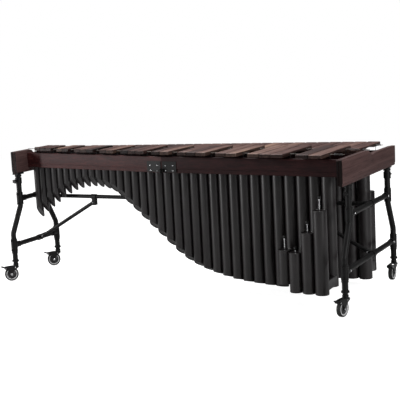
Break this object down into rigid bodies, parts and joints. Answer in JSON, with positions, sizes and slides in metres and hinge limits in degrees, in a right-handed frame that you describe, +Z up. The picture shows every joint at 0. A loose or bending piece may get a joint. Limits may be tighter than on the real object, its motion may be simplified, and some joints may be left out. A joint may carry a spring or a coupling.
{
  "type": "concert marimba",
  "caption": "Concert marimba: two rows of tuned wooden bars on cords over black tube resonators, in a tapered wooden frame on a rolling stand with height-adjustable legs.",
  "frame": {"origin": "on the floor, under the centre of the instrument's outline in plan", "axes": "+X towards the low notes, along the length; +Y towards the player; +Z up"},
  "size_m": [2.7289, 1.1139, 0.956],
  "materials": {
    "bar_rosewood": "oiled rosewood, satin",
    "rail_wood": "stained dark red-brown, satin lacquer",
    "board_wood": "stained dark brown, satin lacquer",
    "resonator_black": "black satin paint on thin aluminium tube",
    "stand_black": "black powder coat",
    "bright_steel": "bright zinc or chrome plate",
    "cord": "twisted polyester cord",
    "tyre_rubber": "black rubber",
    "hub_plastic": "grey and black moulded hub",
    "castor_black": "black powder coat",
    "knob_plastic": "black moulded plastic"
  },
  "bodies": {
    "stand": {"left_posts": "stand_black", "right_posts": "stand_black", "left_crossbars": "stand_black", "right_crossbars": "stand_black", "tee_brackets": "stand_black", "tee_bolts": "bright_steel", "braces": "stand_black", "post_collars": "stand_black", "castor_stems": "stand_black"},
    "keyboard": {"accidental_bars": "bar_rosewood", "natural_bars": "bar_rosewood", "near_rail_high": "rail_wood", "near_rail_low": "rail_wood", "far_rail_high": "rail_wood", "far_rail_low": "rail_wood", "accidental_inner_rail": "rail_wood", "natural_inner_rail": "rail_wood", "high_end_board": "board_wood", "low_end_board": "board_wood", "near_resonators": "resonator_black", "far_resonators": "resonator_black", "near_return_tubes": "resonator_black", "far_return_tubes": "resonator_black", "turn_ducts": "resonator_black", "resonator_strips": "resonator_black", "board_shoes": "stand_black", "joint_plates": "stand_black", "joint_bolts": "bright_steel", "cord_posts": "bright_steel", "height_tubes": "stand_black", "bar_cords": "cord"},
    "frame_latch": {"frame_latch": "knob_plastic"},
    "near_plunger_1": {"near_plunger_1": "bright_steel"},
    "near_plunger_2": {"near_plunger_2": "bright_steel"},
    "near_plunger_3": {"near_plunger_3": "bright_steel"},
    "near_plunger_4": {"near_plunger_4": "bright_steel"},
    "far_plunger_1": {"far_plunger_1": "bright_steel"},
    "far_plunger_2": {"far_plunger_2": "bright_steel"},
    "far_plunger_3": {"far_plunger_3": "bright_steel"},
    "far_plunger_4": {"far_plunger_4": "bright_steel"},
    "near_left_height_knob": {"near_left_height_knob": "knob_plastic"},
    "near_left_fork": {"near_left_fork": "castor_black"},
    "near_left_wheel": {"near_left_tyre": "tyre_rubber", "near_left_hub": "hub_plastic"},
    "near_left_brake_pedal": {"near_left_brake_pedal": "castor_black"},
    "far_left_height_knob": {"far_left_height_knob": "knob_plastic"},
    "far_left_fork": {"far_left_fork": "castor_black"},
    "far_left_wheel": {"far_left_tyre": "tyre_rubber", "far_left_hub": "hub_plastic"},
    "far_left_brake_pedal": {"far_left_brake_pedal": "castor_black"},
    "near_right_height_knob": {"near_right_height_knob": "knob_plastic"},
    "near_right_fork": {"near_right_fork": "castor_black"},
    "near_right_wheel": {"near_right_tyre": "tyre_rubber", "near_right_hub": "hub_plastic"},
    "near_right_brake_pedal": {"near_right_brake_pedal": "castor_black"},
    "far_right_height_knob": {"far_right_height_knob": "knob_plastic"},
    "far_right_fork": {"far_right_fork": "castor_black"},
    "far_right_wheel": {"far_right_tyre": "tyre_rubber", "far_right_hub": "hub_plastic"},
    "far_right_brake_pedal": {"far_right_brake_pedal": "castor_black"}
  },
  "joints": [
    {"name": "height_adjust", "type": "slide", "parent": "stand", "child": "keyboard", "axis": [0, 0, 1], "range_m": [0, 0.1]},
    {"name": "latch_turn", "type": "hinge", "parent": "keyboard", "child": "frame_latch", "pos_m": [0.005, -0.2249, 0.822], "axis": [0, -1, 0], "range_deg": [0, 180]},
    {"name": "near_plunger_1_slide", "type": "slide", "parent": "keyboard", "child": "near_plunger_1", "axis": [0, 0, 1], "range_m": [-0.03, 0.11]},
    {"name": "near_plunger_2_slide", "type": "slide", "parent": "keyboard", "child": "near_plunger_2", "axis": [0, 0, 1], "range_m": [-0.006, 0.11]},
    {"name": "near_plunger_3_slide", "type": "slide", "parent": "keyboard", "child": "near_plunger_3", "axis": [0, 0, 1], "range_m": [-0.046, 0.11]},
    {"name": "near_plunger_4_slide", "type": "slide", "parent": "keyboard", "child": "near_plunger_4", "axis": [0, 0, 1], "range_m": [-0.06, 0.108]},
    {"name": "far_plunger_1_slide", "type": "slide", "parent": "keyboard", "child": "far_plunger_1", "axis": [0, 0, 1], "range_m": [-0.014, 0.11]},
    {"name": "far_plunger_2_slide", "type": "slide", "parent": "keyboard", "child": "far_plunger_2", "axis": [0, 0, 1], "range_m": [-0.042, 0.11]},
    {"name": "far_plunger_3_slide", "type": "slide", "parent": "keyboard", "child": "far_plunger_3", "axis": [0, 0, 1], "range_m": [-0.054, 0.11]},
    {"name": "far_plunger_4_slide", "type": "slide", "parent": "keyboard", "child": "far_plunger_4", "axis": [0, 0, 1], "range_m": [-0.046, 0.09]},
    {"name": "near_left_height_knob_turn", "type": "hinge", "parent": "stand", "child": "near_left_height_knob", "pos_m": [-1.272, -0.1164, 0.721], "axis": [0, -1, 0], "range_deg": [0, 360]},
    {"name": "near_left_swivel", "type": "hinge", "parent": "stand", "child": "near_left_fork", "pos_m": [-1.272, -0.2244, 0.115], "axis": [0, 0, 1], "continuous": true},
    {"name": "near_left_wheel_spin", "type": "hinge", "parent": "near_left_fork", "child": "near_left_wheel", "pos_m": [-1.29881, -0.2469, 0.05], "axis": [0.6428, -0.766, 0], "continuous": true},
    {"name": "near_left_brake", "type": "hinge", "parent": "near_left_fork", "child": "near_left_brake_pedal", "pos_m": [-1.33022, -0.27325, 0.095], "axis": [0.6428, -0.766, 0], "range_deg": [0, 14]},
    {"name": "far_left_height_knob_turn", "type": "hinge", "parent": "stand", "child": "far_left_height_knob", "pos_m": [-1.272, 0.1916, 0.721], "axis": [0, 1, 0], "range_deg": [0, 360]},
    {"name": "far_left_swivel", "type": "hinge", "parent": "stand", "child": "far_left_fork", "pos_m": [-1.272, 0.2996, 0.115], "axis": [0, 0, 1], "continuous": true},
    {"name": "far_left_wheel_spin", "type": "hinge", "parent": "far_left_fork", "child": "far_left_wheel", "pos_m": [-1.29881, 0.2771, 0.05], "axis": [0.6428, -0.766, 0], "continuous": true},
    {"name": "far_left_brake", "type": "hinge", "parent": "far_left_fork", "child": "far_left_brake_pedal", "pos_m": [-1.33022, 0.25075, 0.095], "axis": [0.6428, -0.766, 0], "range_deg": [0, 14]},
    {"name": "near_right_height_knob_turn", "type": "hinge", "parent": "stand", "child": "near_right_height_knob", "pos_m": [1.338, -0.3464, 0.721], "axis": [0, -1, 0], "range_deg": [0, 360]},
    {"name": "near_right_swivel", "type": "hinge", "parent": "stand", "child": "near_right_fork", "pos_m": [1.338, -0.4484, 0.115], "axis": [0, 0, 1], "continuous": true},
    {"name": "near_right_wheel_spin", "type": "hinge", "parent": "near_right_fork", "child": "near_right_wheel", "pos_m": [1.32953, -0.48236, 0.05], "axis": [0.9703, -0.2419, 0], "continuous": true},
    {"name": "near_right_brake", "type": "hinge", "parent": "near_right_fork", "child": "near_right_brake_pedal", "pos_m": [1.31961, -0.52214, 0.095], "axis": [0.9703, -0.2419, 0], "range_deg": [0, 14]},
    {"name": "far_right_height_knob_turn", "type": "hinge", "parent": "stand", "child": "far_right_height_knob", "pos_m": [1.338, 0.4216, 0.721], "axis": [0, 1, 0], "range_deg": [0, 360]},
    {"name": "far_right_swivel", "type": "hinge", "parent": "stand", "child": "far_right_fork", "pos_m": [1.338, 0.5236, 0.115], "axis": [0, 0, 1], "continuous": true},
    {"name": "far_right_wheel_spin", "type": "hinge", "parent": "far_right_fork", "child": "far_right_wheel", "pos_m": [1.33617, 0.48865, 0.05], "axis": [0.9986, -0.0523, 0], "continuous": true},
    {"name": "far_right_brake", "type": "hinge", "parent": "far_right_fork", "child": "far_right_brake_pedal", "pos_m": [1.33402, 0.4477, 0.095], "axis": [0.9986, -0.0523, 0], "range_deg": [0, 14]}
  ]
}
